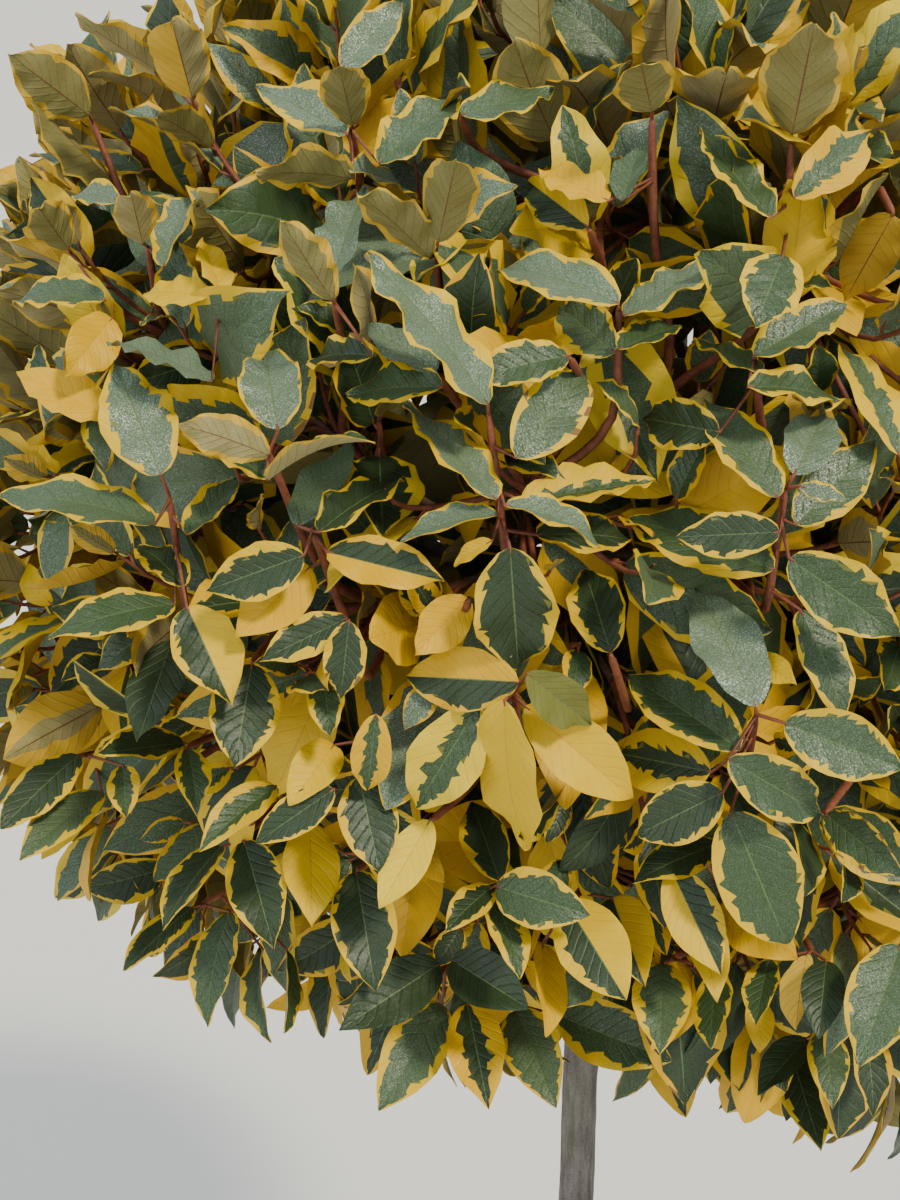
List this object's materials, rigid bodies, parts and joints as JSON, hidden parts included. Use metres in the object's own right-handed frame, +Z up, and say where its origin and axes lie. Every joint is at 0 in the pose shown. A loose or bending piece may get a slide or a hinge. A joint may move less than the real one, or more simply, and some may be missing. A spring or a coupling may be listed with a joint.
{
  "type": "potted half standard elaeagnus",
  "caption": "Half standard shrub in a plain round pot: a dense round head of variegated evergreen leaves on a clear stem, for a patio or beside a door.",
  "frame": {"origin": "middle of the pot's flat underside, where the plant stands on the ground", "axes": "+Z up along the stem, -Y towards the side that is seen in the picture, +X to the right of that view"},
  "size_m": [0.8405, 0.8465, 1.8494],
  "materials": {
    "pot": "satin",
    "compost": "matte",
    "bark": "matte",
    "foliage": "satin"
  },
  "bodies": {
    "root": {"pot": "pot", "compost": "compost", "trunk": "bark", "bough_upper_1": "bark", "bough_upper_2": "bark", "bough_upper_3": "bark", "bough_upper_4": "bark", "bough_upper_5": "bark", "bough_middle_1": "bark", "bough_middle_2": "bark", "bough_middle_3": "bark", "bough_middle_4": "bark", "bough_middle_5": "bark", "bough_middle_6": "bark", "bough_lower_1": "bark", "bough_lower_2": "bark", "bough_lower_3": "bark", "bough_lower_4": "bark", "bough_lower_5": "bark", "mass_top": "foliage", "mass_upper_1": "foliage", "mass_upper_2": "foliage", "mass_upper_3": "foliage", "mass_upper_4": "foliage", "mass_upper_5": "foliage", "mass_middle_1": "foliage", "mass_middle_2": "foliage", "mass_middle_3": "foliage", "mass_middle_4": "foliage", "mass_middle_5": "foliage", "mass_middle_6": "foliage", "mass_lower_1": "foliage", "mass_lower_2": "foliage", "mass_lower_3": "foliage", "mass_lower_4": "foliage", "mass_lower_5": "foliage"}
  },
  "joints": []
}
